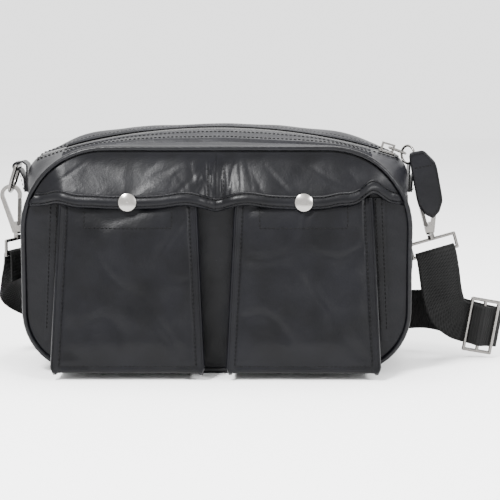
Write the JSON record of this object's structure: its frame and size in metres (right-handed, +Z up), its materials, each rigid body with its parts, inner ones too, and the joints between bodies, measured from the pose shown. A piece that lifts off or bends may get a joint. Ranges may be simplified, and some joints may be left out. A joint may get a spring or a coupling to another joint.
{
  "type": "crossbody bag",
  "caption": "Soft leather crossbody bag, rounded box body with piping, arched zip top, bellows front pockets under snap flaps, and a clip-on webbing strap.",
  "frame": {"origin": "on the floor under the middle of the bag's base, midway between the front and rear piping", "axes": "+Z up, +X along the bag's length to the wearer's view of its right side, front pockets face -Y"},
  "size_m": [0.3813, 0.156, 0.1743],
  "materials": {
    "leather": "soft smooth synthetic leather with a low sheen",
    "piping": "smooth leather cord edging, slightly glossier",
    "zip_strip": "smooth leather strip beside the zip, greyer where it catches light",
    "zip_tape": "woven polyester zip tape",
    "zip_coil": "black nylon zip coil",
    "hardware": "polished nickel-plated zinc, slightly warm",
    "hook_trigger": "dark plated trigger",
    "snap": "polished nickel snap cap",
    "webbing": "black woven polyester webbing",
    "lining": "thin black woven polyester lining",
    "board": "grey fibre board stiffener",
    "strap_metal": "polished nickel-plated steel wire"
  },
  "bodies": {
    "root": {"front_panel": "leather", "rear_panel": "leather", "front_piping": "piping", "rear_piping": "piping", "side_gusset": "leather", "left_shoulder": "leather", "right_shoulder": "leather", "base_board": "board", "lining": "lining", "front_yoke": "leather", "left_snap_stud": "hardware", "right_snap_stud": "hardware", "left_snap_patch": "leather", "right_snap_patch": "leather", "left_pocket_front": "leather", "right_pocket_front": "leather", "left_pocket_gusset": "leather", "right_pocket_gusset": "leather", "left_pocket_binding": "leather", "right_pocket_binding": "leather", "left_zip_end": "zip_tape", "right_zip_end": "zip_tape", "left_ring_loop": "leather", "right_ring_loop": "leather", "left_hook_eye": "hardware", "right_hook_eye": "hardware", "strap_webbing": "webbing", "strap_adjuster": "strap_metal"},
    "left_flap": {"left_flap": "leather", "left_flap_band": "leather", "left_snap_cap": "snap", "left_snap_socket": "hardware"},
    "right_flap": {"right_flap": "leather", "right_flap_band": "leather", "right_snap_cap": "snap", "right_snap_socket": "hardware"},
    "front_mouth": {"front_zip_strip": "zip_strip", "front_zip_tape": "zip_tape", "front_zip_coil": "zip_coil"},
    "rear_mouth": {"rear_zip_strip": "zip_strip", "rear_zip_tape": "zip_tape", "rear_zip_coil": "zip_coil"},
    "slider": {"zip_slider": "hardware"},
    "pull": {"zip_pull_link": "hardware", "zip_pull_ring": "hardware", "zip_pull_tab": "leather"},
    "left_ring": {"left_d_ring": "strap_metal"},
    "right_ring": {"right_d_ring": "strap_metal"},
    "left_hook": {"left_hook_body": "hardware"},
    "right_hook": {"right_hook_body": "hardware"},
    "left_gate": {"left_hook_gate": "hook_trigger"},
    "right_gate": {"right_hook_gate": "hook_trigger"}
  },
  "joints": [
    {"name": "left_flap_hinge", "type": "hinge", "parent": "root", "child": "left_flap", "pos_m": [-0.062, -0.0475, 0.153], "axis": [-1, 0, 0], "range_deg": [0, 110]},
    {"name": "right_flap_hinge", "type": "hinge", "parent": "root", "child": "right_flap", "pos_m": [0.062, -0.0475, 0.153], "axis": [-1, 0, 0], "range_deg": [0, 110]},
    {"name": "front_mouth_hinge", "type": "hinge", "parent": "root", "child": "front_mouth", "pos_m": [0, -0.0429, 0.1624], "axis": [1, 0, 0], "range_deg": [0, 60]},
    {"name": "rear_mouth_hinge", "type": "hinge", "parent": "root", "child": "rear_mouth", "pos_m": [0, 0.0429, 0.1624], "axis": [1, 0, 0], "range_deg": [-60, 0]},
    {"name": "zip_travel", "type": "hinge", "parent": "root", "child": "slider", "pos_m": [0, 0, -0.266], "axis": [0, -1, 0], "range_deg": [0, 32.74], "deforming": ["zip_pull_tab"]},
    {"name": "pull_lift", "type": "hinge", "parent": "slider", "child": "pull", "pos_m": [0.12669, 0, 0.16001], "axis": [0, -1, 0], "range_deg": [0, 151.09], "deforming": ["zip_pull_tab"]},
    {"name": "left_ring_swing", "type": "hinge", "parent": "root", "child": "left_ring", "pos_m": [-0.149, 0.008, 0.146], "axis": [0, 1, 0], "range_deg": [-2.5, 2.5]},
    {"name": "left_hook_swivel", "type": "hinge", "parent": "root", "child": "left_hook", "pos_m": [-0.15059, 0.008, 0.09624], "axis": [-0.1426, 0, 0.9898], "range_deg": [-12, 12]},
    {"name": "left_gate_pivot", "type": "hinge", "parent": "left_hook", "child": "left_gate", "pos_m": [-0.14895, 0.008, 0.10305], "axis": [0, -1, 0], "range_deg": [0, 12], "stiffness_Nm_per_rad": 0.004, "springref_deg": -5.73},
    {"name": "right_ring_swing", "type": "hinge", "parent": "root", "child": "right_ring", "pos_m": [0.149, 0.008, 0.146], "axis": [0, 1, 0], "range_deg": [-2.5, 2.5]},
    {"name": "right_hook_swivel", "type": "hinge", "parent": "root", "child": "right_hook", "pos_m": [0.15798, 0.008, 0.09607], "axis": [-0.0958, 0, 0.9954], "range_deg": [-12, 12]},
    {"name": "right_gate_pivot", "type": "hinge", "parent": "right_hook", "child": "right_gate", "pos_m": [0.15477, 0.008, 0.10229], "axis": [0, 1, 0], "range_deg": [0, 12], "stiffness_Nm_per_rad": 0.004, "springref_deg": -5.73}
  ],
  "couplings": [
    {"joint": "rear_mouth_hinge", "follows": "front_mouth_hinge", "ratio": -1},
    {"joint": "pull_lift", "follows": "zip_travel", "ratio": 4.6}
  ]
}
